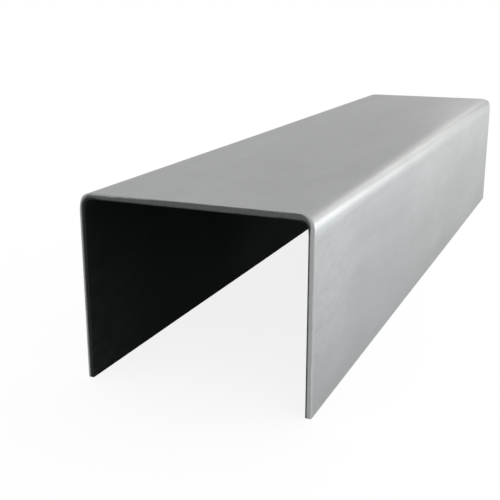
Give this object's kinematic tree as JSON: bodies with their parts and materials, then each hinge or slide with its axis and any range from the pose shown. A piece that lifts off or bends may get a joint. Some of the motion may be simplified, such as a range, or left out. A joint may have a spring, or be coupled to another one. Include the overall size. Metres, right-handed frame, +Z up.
{
  "type": "folded steel u-channel",
  "caption": "Length of folded sheet-steel U-channel standing on its leg tips: a flat web on top and a straight leg down each side, joined by rounded bends, open below and at both ends.",
  "frame": {"origin": "on the floor under the middle of the piece, halfway between the two legs and halfway along the length", "axes": "+X across the web from one leg to the other, +Y along the length, +Z up, from the leg tips to the web"},
  "size_m": [0.075, 0.315, 0.06],
  "materials": {
    "sheet_steel": "satin zinc-coated sheet, matt dark on the inside, grey cut edges"
  },
  "bodies": {
    "root": {"u_channel": "sheet_steel"}
  },
  "joints": []
}
